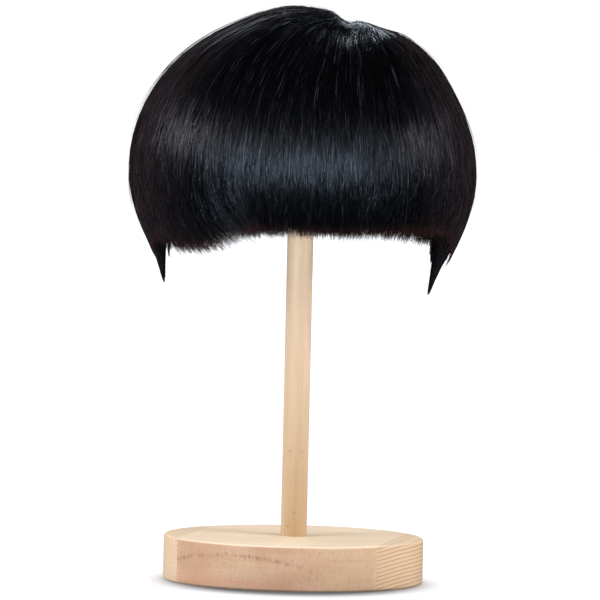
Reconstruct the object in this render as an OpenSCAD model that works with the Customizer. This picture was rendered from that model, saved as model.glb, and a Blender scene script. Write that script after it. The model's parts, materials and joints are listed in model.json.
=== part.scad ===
// Short straight bowl-cut costume wig on a turned wooden wig stand.
// Millimetres, +Z up. The front of the wig faces -Y. The origin is the centre of the stand's underside.
// The wig's layers are sheets that follow one head shape. Each lies at a depth outside that head.

/* [Stand] */
// Diameter of the round base
base_d = 150; // [130:1:180]
// Thickness of the base
base_t = 26; // [20:1:32]
// Radius of the base's rounded edges
base_edge = 1.5; // [0.5:0.5:4]
// Distance of each glue seam from the middle of the base
seam_offset = 58.5; // [45:0.5:65]
// How far the boards are turned on the base
board_turn = -11.5; // [-45:0.5:45]
// Diameter of the post
post_d = 15; // [12:0.5:20]
// Diameter of the dome that the cap rests on
dome_d = 112; // [90:1:116]

/* [Head] */
// Half width of the head that the cap fits
head_x = 78; // [74:0.5:82]
// Half length of the head
head_y = 97; // [92:0.5:102]
// Height of the crown over the widest level
head_z = 82; // [76:0.5:88]
// Height of the widest level over the table
widest_z = 237; // [225:1:250]

/* [Hair] */
// Depth of the hair outside the cap at the sides
side_depth = 22.5; // [18:0.5:26]
// Depth of the hair at the front and the back
front_depth = 18; // [14:0.5:22]
// Depth of the hair over the crown
top_depth = 12; // [9:0.5:15]
// Height of the fringe's hem below the widest level
fringe_drop = 30; // [20:1:36]
// Height of the side hair's hem below the widest level
side_drop = 39; // [34:1:44]
// Height of the back hair's hem below the widest level
back_drop = 42; // [36:1:46]
// Height of the sideburns' tips below the widest level
sideburn_drop = 67; // [58:1:72]

/* [Nape adjuster] */
// Width of the elastic straps
strap_w = 7; // [5:0.5:8]
// Length of each strap, as an angle round the nape
strap_arc = 29; // [24:1:32]

/* [Hidden] */

base_r = base_d / 2;
post_r = post_d / 2;
glue_gap = 0.05;       // room left for glue in a seam or round a tenon
soft_gap = 0.4;        // room between neighbouring soft pieces
tenon_depth = 18;      // how far the post enters the base
tenon_top = 20;        // how far the post enters the dome
screw_r = 2.25;
screw_head_r = 4.5;
screw_head_t = 2.5;
screw_l = 38;
screw_recess = 0.5;    // how far the screw's head sits above the table

crown_z = widest_z + head_z;
dome_sphere_r = 70;
dome_top_z = crown_z - 0.5;
dome_rim_z = dome_top_z - dome_sphere_r + sqrt(pow(dome_sphere_r, 2) - pow(dome_d / 2, 2));
dome_rim_t = 10;
dome_bottom_z = dome_rim_z - dome_rim_t;
dome_boss_r = 16;
dome_boss_t = 12;
post_bottom_z = base_t - tenon_depth;
post_top_z = dome_bottom_z + tenon_top;

grid = 9;              // degrees round the head between two columns of points
fine_grid = 4.5;       // the same for small or pointed pieces
net_t = 0.8;           // thickness of net, bands and ear tabs
weft_low = 1.2;        // depth of a weft's underside
weft_high = 2.4;       // depth of a weft's upper side
weft_turn = 2.2;       // height of a weft, in degrees down from the crown
under_low = 3.2;       // depth of the under hair's inside
under_high = 11;       // greatest depth of the under hair's outside
outer_low_crown = 4;   // depth of the outer hair's inside at the crown
outer_low_hem = 14;    // depth of the outer hair's inside at the hem
whorl_turn = 6;        // radius of the whorl, in degrees down from the crown
disc_turn = 14;        // radius of the crown disc, in degrees down from the crown
under_start = 46;      // where the under hair begins, in degrees down from the crown
fringe_half = 54;      // half angle of the fringe
back_start = 117;      // angle from the front at which the back hair begins
temple_start = 45;     // angle at which the cap's edge turns down at the temple
temple_end = 63;       // angle at which it reaches the ear
nape_start = 126;      // angle at which the nape band begins
front_edge = 74;       // the net's edge over the forehead, in degrees down from the crown
ear_edge = 106;        // the net's edge over the ear: 90 and then millimetres down
nape_edge = 112;       // the net's edge at the nape
band_h = 6;            // height of the front band and the side bindings
nape_band_h = 9;
edge_gap = 0.8;        // room between the net's edge and its bands
hem_point = 10;        // how far the side hair's point reaches below its hem
tab_start = 76;        // angles of the ear tab, measured from the front
tab_end = 99;
tab_gap = 1.6;         // room over the ear tab, which lets it fold
tab_tip = 141;         // lowest place of the ear tab
tab_shoulder = 126;    // lowest place of its two ends

nape_z = widest_z - (nape_edge - 90) - edge_gap - nape_band_h / 2;
nape_centre_y = 34;    // centre of the nape's curve
tape_r = 60.2;         // inner radius of the loop tape round that centre
tape_half = 17;
strap_r = 58.4;        // inner radius of the straps
strap_t = 0.8;
hook_t = 2;
hook_arc = 7;
hook_start = 8;        // angle from the back's middle to the hook's near end
strap_start = hook_start + hook_arc - 1;
sleeve_start = 34;
sleeve_arc = 18;
sleeve_wall = 0.6;

// Share of the way from the cap out to the hair's surface at a given depth.
function share(depth) = depth / side_depth;

// How quickly a layer draws in below the widest level: the smaller, the quicker.
function tuck(depth) = 190 - 100 * share(depth);

// Place on a layer. turn is measured round the head from the front towards +X. down is in degrees
// from the crown as far as 90, and beyond that in millimetres below the widest level.
function on_head(turn, down, depth) =
    let (below = max(0, down - 90))
    let (ring = down <= 90 ? sin(down) : sqrt(1 - pow(below / tuck(depth), 2)))
    let (up = down <= 90 ? (head_z + top_depth * share(depth)) * cos(down) : -below)
    [
        (head_x + depth) * ring * sin(turn),
        -(head_y + front_depth * share(depth)) * ring * cos(turn),
        widest_z + up
    ];

function blend(a, b, part) = a + (b - a) * min(1, max(0, part));

// Angle that takes half a soft gap off the side of a sector at a given height.
function side_gap(down) = soft_gap / 2 / (head_x * sin(min(90, down))) * 180 / PI;

// The hair's hem round the head, as a place below the widest level.
function hem(turn) =
    let (a = abs(turn) > 180 ? 360 - abs(turn) : abs(turn))
    90 + (a <= fringe_half ? fringe_drop
        : a <= 81 ? blend(fringe_drop, side_drop, (a - fringe_half) / (81 - fringe_half))
        : blend(side_drop, back_drop, (a - 81) / (back_start - 81)));

// The side hair also comes to a short point over the sideburn.
function pointed_hem(turn) = hem(turn) + hem_point * max(0, 1 - abs(abs(turn) - 81) / 13.5);

// The net's edge round the head.
function net_edge(turn) =
    let (a = abs(turn) > 180 ? 360 - abs(turn) : abs(turn))
    a <= temple_end ? blend(front_edge, ear_edge, (a - temple_start) / (temple_end - temple_start))
        : blend(ear_edge, nape_edge, (a - back_start) / (nape_start - back_start));

function outer_low(down) = blend(outer_low_crown, outer_low_hem, (down - 30) / 50);
function under_out(down) = min(under_high, outer_low(down) - 1.5);

// Closed sheet over part of the head, from turn a to turn b. top and bottom give its upper and lower
// edge at a turn, low and high the depths of its two faces at a height.
module sheet(a, b, top, bottom, low, high, rows, pitch = grid) {
    whole = b - a >= 360;
    columns = round((b - a) / pitch);
    last = whole ? columns - 1 : columns;
    edge = rows + 1;
    outside = (last + 1) * edge;
    face_points = function (depth) [
        for (i = [0:last]) let (turn = blend(a, b, i / columns))
            for (j = [0:rows]) let (down = blend(top(turn), bottom(turn), j / rows))
                let (trim = whole ? 0 : side_gap(down) * (1 - 2 * i / columns))
                    on_head(turn + trim, down, depth(down))
    ];
    at = function (i, j) (i % (last + 1)) * edge + j;
    spans = [0:whole ? last : last - 1];
    skin = [
        for (i = spans) for (j = [0:rows - 1])
            each [[at(i, j), at(i + 1, j), at(i + 1, j + 1)], [at(i, j), at(i + 1, j + 1), at(i, j + 1)]]
    ];
    lining = [for (f = skin) [f[0] + outside, f[2] + outside, f[1] + outside]];
    top_rim = [
        for (i = spans) let (p = at(i, 0)) let (q = at(i + 1, 0))
            each [[p + outside, q + outside, q], [p + outside, q, p]]
    ];
    bottom_rim = [
        for (i = spans) let (p = at(i, rows)) let (q = at(i + 1, rows))
            each [[p, q, q + outside], [p, q + outside, p + outside]]
    ];
    first_side = whole ? [] : [
        for (j = [0:rows - 1]) let (p = at(0, j)) let (q = at(0, j + 1))
            each [[p, q, q + outside], [p, q + outside, p + outside]]
    ];
    last_side = whole ? [] : [
        for (j = [0:rows - 1]) let (p = at(last, j)) let (q = at(last, j + 1))
            each [[q, p, p + outside], [q, p + outside, q + outside]]
    ];
    polyhedron(
        concat(face_points(high), face_points(low)),
        concat(skin, lining, top_rim, bottom_rim, first_side, last_side),
        convexity = 6
    );
}

// Closed round sheet at the crown, as far down as radius.
module crown_sheet(radius, low, high, rows) {
    columns = 360 / grid;
    dome_points = function (depth) concat(
        [on_head(0, 0, depth)],
        [for (j = [1:rows]) for (i = [0:columns - 1]) on_head(i * grid, radius * j / rows, depth)]
    );
    outside = 1 + columns * rows;
    at = function (i, j) 1 + (j - 1) * columns + i % columns;
    fan = [for (i = [0:columns - 1]) [0, at(i + 1, 1), at(i, 1)]];
    rings = rows < 2 ? [] : [
        for (j = [1:rows - 1]) for (i = [0:columns - 1])
            each [[at(i, j), at(i + 1, j), at(i + 1, j + 1)], [at(i, j), at(i + 1, j + 1), at(i, j + 1)]]
    ];
    skin = concat(fan, rings);
    lining = [for (f = skin) [f[0] + outside, f[2] + outside, f[1] + outside]];
    rim = [
        for (i = [0:columns - 1]) let (p = at(i, rows)) let (q = at(i + 1, rows))
            each [[p, q, q + outside], [p, q + outside, p + outside]]
    ];
    polyhedron(concat(dome_points(high), dome_points(low)), concat(skin, lining, rim), convexity = 4);
}

// Curved bar round the nape's centre, from one angle to another, counted from the back towards +X.
module nape_arc(start, arc, inner_r, thickness, height) {
    translate([0, nape_centre_y, nape_z - height / 2])
        rotate([0, 0, 90 - start - arc])
            rotate_extrude(angle = arc, $fn = 96)
                translate([inner_r, 0])
                    square([thickness, height]);
}

// Shows its children on the +X side, or mirrored on the -X side.
module on_side(side) {
    if (side > 0)
        children();
    else
        mirror([1, 0, 0]) children();
}

module base_disc() {
    rotate_extrude($fn = 96)
        union() {
            square([base_r - base_edge, base_t]);
            translate([0, base_edge])
                square([base_r, base_t - 2 * base_edge]);
            for (z = [base_edge, base_t - base_edge])
                translate([base_r - base_edge, z])
                    circle(base_edge, $fn = 32);
        }
}

module board(from_x, to_x) {
    intersection() {
        base_disc();
        rotate([0, 0, board_turn])
            translate([from_x, -base_r - 1, -1])
                cube([to_x - from_x, 2 * base_r + 2, base_t + 2]);
    }
}

module base_centre_board() {
    color("#e6cfae")
        difference() {
            board(-seam_offset, seam_offset);
            translate([0, 0, post_bottom_z])
                cylinder(h = base_t, r = post_r + glue_gap, $fn = 96);
            translate([0, 0, -1])
                cylinder(h = base_t, r = screw_r + glue_gap, $fn = 48);
            translate([0, 0, -1])
                cylinder(h = 1 + screw_recess + screw_head_t, r = screw_head_r + 0.3, $fn = 48);
        }
}

module base_left_strip() {
    color("#e8cda8")
        board(-base_r - 1, -seam_offset - glue_gap);
}

module base_right_strip() {
    color("#e8cda8")
        board(seam_offset + glue_gap, base_r + 1);
}

module base_screw() {
    color("#c9a24d")
        translate([0, 0, screw_recess])
            union() {
                cylinder(h = screw_head_t, r = screw_head_r, $fn = 48);
                cylinder(h = screw_l, r = screw_r, $fn = 48);
            }
}

module post() {
    color("#e2c8a0")
        difference() {
            translate([0, 0, post_bottom_z + glue_gap])
                cylinder(h = post_top_z - post_bottom_z - glue_gap, r = post_r, $fn = 96);
            cylinder(h = screw_recess + screw_l + 1, r = screw_r + glue_gap, $fn = 48);
        }
}

module dome() {
    color("#e4caa4")
        difference() {
            rotate_extrude($fn = 96)
                union() {
                    intersection() {
                        translate([0, dome_top_z - dome_sphere_r])
                            circle(dome_sphere_r, $fn = 128);
                        translate([0, dome_rim_z])
                            square([dome_d / 2, dome_sphere_r]);
                    }
                    translate([0, dome_bottom_z + dome_rim_t / 2])
                        square([dome_d / 2, dome_rim_t / 2]);
                    translate([0, dome_bottom_z])
                        square([dome_d / 2 - dome_rim_t / 2, dome_rim_t]);
                    intersection() {
                        translate([dome_d / 2 - dome_rim_t / 2, dome_bottom_z + dome_rim_t / 2])
                            circle(dome_rim_t / 2, $fn = 48);
                        translate([0, dome_bottom_z])
                            square([dome_d / 2, dome_rim_t]);
                    }
                    translate([0, dome_bottom_z - dome_boss_t])
                        square([dome_boss_r, dome_boss_t + 1]);
                }
            translate([0, 0, dome_bottom_z - dome_boss_t - 1])
                cylinder(
                    h = post_top_z + glue_gap - dome_bottom_z + dome_boss_t + 1,
                    r = post_r + glue_gap,
                    $fn = 96
                );
        }
}

module crown_net() {
    color("#2a2624")
        sheet(-180, 180, function (t) disc_turn + 0.4, function (t) net_edge(t),
            function (d) 0, function (d) net_t, 8);
}

module crown_disc() {
    color("#d9b79c")
        crown_sheet(disc_turn, 0, net_t, 2);
}

module front_band() {
    color("#cfa98c")
        sheet(-temple_start, temple_start,
            function (t) front_edge + edge_gap, function (t) front_edge + edge_gap + band_h,
            function (d) 0, function (d) net_t, 1);
}

module side_binding(side) {
    color("#2a2624")
        on_side(side)
            sheet(temple_start, nape_start,
                function (t) net_edge(t) + edge_gap, function (t) net_edge(t) + edge_gap + band_h,
                function (d) 0, function (d) net_t, 1);
}

module side_binding_left() {
    side_binding(-1);
}

module side_binding_right() {
    side_binding(1);
}

module nape_band() {
    color("#1f1c1b")
        sheet(nape_start, 360 - nape_start,
            function (t) nape_edge + edge_gap, function (t) nape_edge + edge_gap + nape_band_h,
            function (d) 0, function (d) net_t, 1);
}

// The ear tab hangs from the side binding and narrows to a rounded tip.
function tab_hem(turn) =
    let (part = (turn - tab_start) / (tab_end - tab_start))
    tab_shoulder + (tab_tip - tab_shoulder) * sin(180 * part);

module ear_tab(side) {
    color("#2a2624")
        on_side(side)
            sheet(tab_start, tab_end,
                function (t) ear_edge + edge_gap + band_h + tab_gap, function (t) tab_hem(t),
                function (d) 0, function (d) net_t, 3, fine_grid);
}

module ear_tab_left() {
    ear_tab(-1);
}

module ear_tab_right() {
    ear_tab(1);
}

// Thin bendable stay sewn to the inside of the ear tab.
module ear_stay(side) {
    color("#b9bcc0")
        on_side(side)
            sheet(tab_start + grid, tab_start + grid + fine_grid,
                function (t) 117, function (t) 136, function (d) -1.3, function (d) -0.5, 2);
}

module ear_stay_left() {
    ear_stay(-1);
}

module ear_stay_right() {
    ear_stay(1);
}

// Tape sewn inside the nape band, with a row of raised loops for the hooks.
module loop_tape() {
    loop_step = 3;
    color("#3a3634")
        union() {
            nape_arc(-tape_half, 2 * tape_half, tape_r, 0.6, strap_w);
            for (a = [-tape_half + 1 : loop_step : tape_half - 1])
                nape_arc(a - 0.4, 0.8, tape_r - 0.4, 0.5, strap_w - 2);
        }
}

// Fabric sleeve that the strap runs in.
module strap_sleeve(side) {
    room = 0.3;
    color("#262322")
        on_side(side)
            difference() {
                nape_arc(sleeve_start, sleeve_arc, strap_r - room - sleeve_wall,
                    strap_t + 2 * (room + sleeve_wall), strap_w + 2 * (room + sleeve_wall));
                nape_arc(sleeve_start - 1, sleeve_arc + 2, strap_r - room,
                    strap_t + 2 * room, strap_w + 2 * room);
            }
}

module strap_sleeve_left() {
    strap_sleeve(-1);
}

module strap_sleeve_right() {
    strap_sleeve(1);
}

module strap(side) {
    color("#1a1817")
        on_side(side)
            nape_arc(strap_start, strap_arc, strap_r, strap_t, strap_w);
}

module strap_left() {
    strap(-1);
}

module strap_right() {
    strap(1);
}

// Flat plastic hook. The end of the strap sits in its pocket and its nose lies over the loops.
module hook(side) {
    plate_r = strap_r - 0.7;
    color("#101010")
        on_side(side)
            difference() {
                nape_arc(hook_start, hook_arc, plate_r, hook_t, strap_w + 1.6);
                nape_arc(strap_start - 0.1, 2, strap_r - glue_gap,
                    strap_t + 2 * glue_gap, strap_w + 2 * glue_gap);
                nape_arc(hook_start + 2, 2, plate_r - 1, hook_t + 2, strap_w - 2);
            }
}

module hook_left() {
    hook(-1);
}

module hook_right() {
    hook(1);
}

// Rows of weft, the first a ring round the crown and the last only across the nape.
weft_rows = [[22, 180], [38, 180], [54, 180], [68, 180], [86, 117], [102, 63]];

module weft(index) {
    down = weft_rows[index][0];
    reach = weft_rows[index][1];
    color("#141212")
        sheet(180 - reach, 180 + reach, function (t) down, function (t) down + weft_turn,
            function (d) weft_low, function (d) weft_high, 1);
}

module weft_1() {
    weft(0);
}

module weft_2() {
    weft(1);
}

module weft_3() {
    weft(2);
}

module weft_4() {
    weft(3);
}

module weft_5() {
    weft(4);
}

module weft_6() {
    weft(5);
}

module hair_whorl() {
    color("#0d0d10")
        crown_sheet(whorl_turn - 0.5, outer_low_crown, side_depth, 1);
}

module outer_hair(a, b, bottom, pitch) {
    color("#0b0c10")
        sheet(a, b, function (t) whorl_turn, bottom,
            function (d) outer_low(d), function (d) side_depth, 13, pitch);
}

module hair_fringe() {
    outer_hair(-fringe_half, fringe_half, function (t) hem(t), grid);
}

module hair_left() {
    outer_hair(-back_start, -fringe_half, function (t) pointed_hem(t), fine_grid);
}

module hair_right() {
    outer_hair(fringe_half, back_start, function (t) pointed_hem(t), fine_grid);
}

module hair_back() {
    outer_hair(back_start, 360 - back_start, function (t) hem(t), grid);
}

module under_hair(a, b) {
    color("#121013")
        sheet(a, b, function (t) under_start, function (t) hem(t) - 3,
            function (d) under_low, function (d) under_out(d), 7);
}

module under_fringe() {
    under_hair(-fringe_half, fringe_half);
}

module under_left() {
    under_hair(-back_start, -fringe_half);
}

module under_right() {
    under_hair(fringe_half, back_start);
}

module under_back() {
    under_hair(back_start, 360 - back_start);
}

// The sideburn is rooted on the ear tab under the side hair, and fills out below that hair's hem.
module sideburn(side) {
    root = 116;
    tip = 90 + sideburn_drop;
    start = tab_start + 1;
    end = tab_end - 4;
    color("#0d0c0f")
        on_side(side)
            sheet(start, end, function (t) root,
                function (t) tip - 20 * pow((t - start) / (end - start), 1.5),
                function (d) weft_low, function (d) blend(2.6, 11, (d - 131) / 5), 9, fine_grid);
}

module sideburn_left() {
    sideburn(-1);
}

module sideburn_right() {
    sideburn(1);
}

base_centre_board();
base_left_strip();
base_right_strip();
base_screw();
post();
dome();
crown_net();
crown_disc();
front_band();
side_binding_left();
side_binding_right();
nape_band();
ear_tab_left();
ear_tab_right();
ear_stay_left();
ear_stay_right();
loop_tape();
strap_sleeve_left();
strap_sleeve_right();
strap_left();
strap_right();
hook_left();
hook_right();
weft_1();
weft_2();
weft_3();
weft_4();
weft_5();
weft_6();
hair_whorl();
hair_fringe();
hair_left();
hair_right();
hair_back();
under_fringe();
under_left();
under_right();
under_back();
sideburn_left();
sideburn_right();
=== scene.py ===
"""Looks for the costume wig and its wooden stand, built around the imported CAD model."""

import json
import math

import bpy
import numpy as np
from mathutils import Matrix, Vector

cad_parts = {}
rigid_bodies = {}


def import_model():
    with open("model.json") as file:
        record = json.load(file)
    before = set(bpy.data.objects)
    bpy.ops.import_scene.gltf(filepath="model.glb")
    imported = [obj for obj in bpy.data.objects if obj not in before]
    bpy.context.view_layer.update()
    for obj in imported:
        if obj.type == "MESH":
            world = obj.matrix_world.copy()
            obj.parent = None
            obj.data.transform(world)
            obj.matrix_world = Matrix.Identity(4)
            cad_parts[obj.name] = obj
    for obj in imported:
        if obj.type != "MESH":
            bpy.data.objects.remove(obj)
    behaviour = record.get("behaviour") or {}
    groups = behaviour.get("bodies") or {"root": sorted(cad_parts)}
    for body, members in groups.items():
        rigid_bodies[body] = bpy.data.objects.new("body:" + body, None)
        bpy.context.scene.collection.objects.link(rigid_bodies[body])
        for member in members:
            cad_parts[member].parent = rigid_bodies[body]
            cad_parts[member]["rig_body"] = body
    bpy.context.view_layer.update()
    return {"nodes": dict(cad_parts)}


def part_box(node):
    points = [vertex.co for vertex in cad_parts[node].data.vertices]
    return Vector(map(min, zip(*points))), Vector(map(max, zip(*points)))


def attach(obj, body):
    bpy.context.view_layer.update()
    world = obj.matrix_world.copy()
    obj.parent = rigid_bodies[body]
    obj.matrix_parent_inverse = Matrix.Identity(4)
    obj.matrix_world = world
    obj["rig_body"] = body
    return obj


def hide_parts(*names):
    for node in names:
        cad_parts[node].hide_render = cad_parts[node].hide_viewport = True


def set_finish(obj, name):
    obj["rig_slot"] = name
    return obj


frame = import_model()

MM = 0.001
seeded = np.random.default_rng

# Places of the hems and edges, in millimetres below the widest level, as the CAD has them.
FRINGE_DROP = 30
SIDE_DROP = 39
BACK_DROP = 42
SIDEBURN_DROP = 67
POINT_DROP = 10
fringe_lo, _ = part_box("hair_fringe")
_, side_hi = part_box("hair_right")
_, back_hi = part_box("hair_back")
_, whorl_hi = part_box("hair_whorl")
strap_lo, strap_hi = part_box("strap_right")

# The hair's outer surface and the cap under it.
OUT_X = side_hi.x / MM
OUT_Y = back_hi.y / MM
TOP_Z = whorl_hi.z / MM
WIDEST_Z = fringe_lo.z / MM + FRINGE_DROP
OUT_Z = TOP_Z - WIDEST_Z
CAP_X = 78
CAP_Y = 97
CAP_Z = 82
HAIR_DEPTH = OUT_X - CAP_X
HEAD_R = 88
CAP_T = 0.8

# Turns from the front, in degrees, where the fringe ends, a sideburn hangs and the back begins.
FRINGE_END = 54
SIDEBURN_TURN = 81
BACK_START = 117
POINT_HALF = 13.5

# Where the hair parts at the crown, in millimetres, and how far the wig leans and sits to one side.
WHORL_X = 20
WHORL_Y = 4
LEAN = 0.013
SET_OVER = 1.0
SHOULDER = 0.028

# The crown's uneven outline: each rise's height, its place from side to side and its width.
CROWN_RISES = ((2.0, -12, 22), (-4.6, 25, 5), (-1.5, 42, 16), (2.5, 62, 9))

# How far the fringe hangs lower at its left.
LEFT_HANG = 13

# The nape adjuster's straps run round this centre, at this radius.
NAPE_Y = 34
NAPE_Z = (strap_lo.z + strap_hi.z) / 2 / MM
STRAP_R = 58.4
STRAP_T = 0.8
STRAP_H = (strap_hi.z - strap_lo.z) / MM

SIDES = ((-1, "left"), (1, "right"))


# ---- head shape


def on_head(turn, down, depth):
    """Points on the layers that the CAD uses. turn in degrees from the front, down in degrees, then in mm."""
    turn = np.radians(turn)
    share = depth / HAIR_DEPTH
    below = np.maximum(0, down - 90)
    upper = np.radians(np.minimum(down, 90))
    ring = np.sin(upper) * np.sqrt(1 - (below / (190 - 100 * share)) ** 2)
    height = (CAP_Z + (OUT_Z - CAP_Z) * share) * np.cos(upper) - below
    x = (CAP_X + depth) * ring * np.sin(turn)
    y = -(CAP_Y + (OUT_Y - CAP_Y) * share) * ring * np.cos(turn)
    return np.stack(np.broadcast_arrays(x, y, WIDEST_Z + height), -1)


def clamp(value):
    return np.clip(value, 0, 1)


def bump(value, centre, width):
    """A rise of 1 at the centre that fades on both sides."""
    return np.exp(-(((value - centre) / width) ** 2))


def smooth(value, low, high):
    """From 0 at low to 1 at high, level at both."""
    part = clamp((value - low) / (high - low))
    return part * part * (3 - 2 * part)


def settle(points):
    """Moves the crown's centre to the whorl, parts the hair there, and leans it as the worn wig leans."""
    out = points.copy()
    rise = clamp((points[..., 2] - WIDEST_Z) / OUT_Z)
    pull = rise**3
    away_x = 1 - (points[..., 0] / OUT_X) ** 2
    away_y = 1 - (points[..., 1] / OUT_Y) ** 2
    out[..., 0] += WHORL_X * pull * clamp(away_x)
    out[..., 1] += WHORL_Y * pull * clamp(away_y)
    dip = (out[..., 0] / OUT_X) ** 2 - (points[..., 0] / OUT_X) ** 2
    out[..., 2] -= OUT_Z * 0.5 * dip * rise
    out[..., 0] *= 1 + SHOULDER * bump(rise, 0.8, 0.2)
    parting = sum(height * bump(out[..., 0], place, width) for height, place, width in CROWN_RISES)
    out[..., 2] += parting * smooth(rise, 0.8, 0.98)
    out[..., 0] += SET_OVER - LEAN * np.maximum(0, points[..., 2] - (WIDEST_Z - BACK_DROP))
    return out


def shares(count):
    """Even steps from 0 to 1 along the second axis."""
    return np.linspace(0, 1, count)[None, :]


def from_front(turn):
    """The same turn between -180 and 180."""
    return (turn + 180) % 360 - 180


def hem(turn):
    """The hair's hem round the head, in the same units as down."""
    away = np.abs(from_front(turn))
    to_side = clamp((away - FRINGE_END) / (SIDEBURN_TURN - FRINGE_END))
    to_back = clamp((away - SIDEBURN_TURN) / (BACK_START - SIDEBURN_TURN))
    point = POINT_DROP * np.maximum(0, 1 - np.abs(away - SIDEBURN_TURN) / POINT_HALF)
    return 90 + FRINGE_DROP + (SIDE_DROP - FRINGE_DROP) * to_side + (BACK_DROP - SIDE_DROP) * to_back + point


def cut(turn):
    """Where the scissors went: the hem, lower on the left of the fringe and a little uneven."""
    leftward = -from_front(turn)
    left = smooth(leftward, 22, 50) * (1 - smooth(leftward, 56, 74))
    return hem(turn) + 0.8 + LEFT_HANG * left + 0.7 * lock_noise(turn, 5, 40)


def lock_noise(turn, seed, per_turn):
    """Smooth random value round the head, for locks that stand out or lie back."""
    values = seeded(seed).uniform(-1, 1, per_turn)
    place = (turn % 360) / 360 * per_turn
    i = np.floor(place).astype(int)
    part = smooth(place - i, 0, 1)
    return values[i % per_turn] * (1 - part) + values[(i + 1) % per_turn] * part


# ---- node helpers


def linear(code):
    """An sRGB hex code as linear RGBA."""
    parts = [int(code[i : i + 2], 16) / 255 for i in (1, 3, 5)]
    return [c / 12.92 if c <= 0.04045 else ((c + 0.055) / 1.055) ** 2.4 for c in parts] + [1]


class Nodes:
    """Short names for building a material's nodes."""

    def __init__(self, name, roughness=0.5):
        self.mat = bpy.data.materials.new(name)
        self.mat.use_nodes = True
        self.tree = self.mat.node_tree
        self.shader = self.tree.nodes["Principled BSDF"]
        self.shader.inputs["Roughness"].default_value = roughness

    def add(self, kind, inputs=(), **settings):
        """A node with its settings, and its inputs fed by name or number."""
        node = self.tree.nodes.new("ShaderNode" + kind)
        for key, value in settings.items():
            setattr(node, key, value)
        for key, value in dict(inputs).items():
            self.feed(node.inputs[key], value)
        return node

    def feed(self, socket, value):
        """Links an output to a socket, or sets a number, a vector or a hex colour on it."""
        if isinstance(value, bpy.types.NodeSocket):
            self.tree.links.new(value, socket)
        else:
            socket.default_value = linear(value) if isinstance(value, str) else value

    def set(self, name, value):
        """A shader value that is the same all over the surface."""
        self.shader.inputs[name].default_value = value

    def math(self, operation, a, b=0.0):
        return self.add("Math", {0: a, 1: b}, operation=operation).outputs[0]

    def plus(self, a, b):
        return self.math("ADD", a, b)

    def minus(self, a, b):
        return self.math("SUBTRACT", a, b)

    def times(self, a, b):
        return self.math("MULTIPLY", a, b)

    def size(self, a):
        return self.math("ABSOLUTE", a)

    def wave(self, a, pace):
        return self.math("SINE", self.times(a, pace))

    def reach(self, a, b):
        """The length of a vector from its two parts."""
        return self.math("SQRT", self.plus(self.math("POWER", a, 2), self.math("POWER", b, 2)))

    def place(self):
        """Position in the row frame, in metres."""
        return self.add("TexCoord").outputs["Object"]

    def turned(self, vector, turn):
        """The same place in axes turned about the vertical."""
        return self.add("Mapping", {"Vector": vector, "Rotation": (0, 0, -turn)}).outputs[0]

    def noise(self, vector, scale, detail, roughness=0.5, distortion=0.0):
        inputs = {"Vector": vector, "Scale": scale, "Detail": detail, "Roughness": roughness}
        return self.add("TexNoise", {**inputs, "Distortion": distortion}).outputs["Fac"]

    def grain(self, vector, scale, detail, roughness=0.5, distortion=0.0):
        """Noise with its own scale along each axis, per metre."""
        stretched = self.add("Mapping", {"Vector": vector, "Scale": scale}).outputs[0]
        return self.noise(stretched, 1, detail, roughness, distortion)

    def ramp(self, factor, stops):
        """Shades of grey between stops (place, shade)."""
        node = self.add("ValToRGB", {"Fac": factor})
        elements = node.color_ramp.elements
        while len(elements) < len(stops):
            elements.new(0.5)
        for element, (place, shade) in zip(elements, stops):
            element.position = place
            element.color = [shade] * 3 + [1]
        return node.outputs["Color"]

    def mix(self, factor, a, b):
        return self.add("Mix", {0: factor, 6: a, 7: b}, data_type="RGBA").outputs[2]

    def stain(self, colour, value, low, high, most, shade):
        """Shades the colour where a value is high, by most at the most."""
        return self.mix(self.range(value, low, high, 0, most), colour, shade)

    def range(self, value, low, high, to_low=0.0, to_high=1.0):
        limits = {"From Min": low, "From Max": high, "To Min": to_low, "To Max": to_high}
        return self.add("MapRange", {"Value": value, **limits}).outputs[0]

    def split(self, vector):
        return self.add("SeparateXYZ", {0: vector}).outputs[:3]

    def join(self, x, y):
        return self.add("CombineXYZ", {0: x, 1: y}).outputs[0]

    def millimetres(self):
        """The piece's own UVs, which are in millimetres."""
        return self.add("UVMap", uv_map="UVMap").outputs[0]

    def attribute(self, name):
        return self.add("Attribute", attribute_name=name).outputs["Fac"]

    def finish(self, colour, roughness, relief=None, strength=0.3, distance=0.0005):
        """Sets the shader's colour, roughness and relief, and returns the material."""
        self.feed(self.shader.inputs["Base Color"], colour)
        self.feed(self.shader.inputs["Roughness"], roughness)
        if relief is not None:
            node = self.add("Bump", {"Height": relief, "Strength": strength, "Distance": distance})
            self.tree.links.new(node.outputs[0], self.shader.inputs["Normal"])
        return self.mat


def dress(name, material):
    """Gives a CAD node its finished material."""
    node = frame["nodes"][name]
    for index in range(len(node.data.materials)):
        node.data.materials[index] = material


# ---- wood


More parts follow.
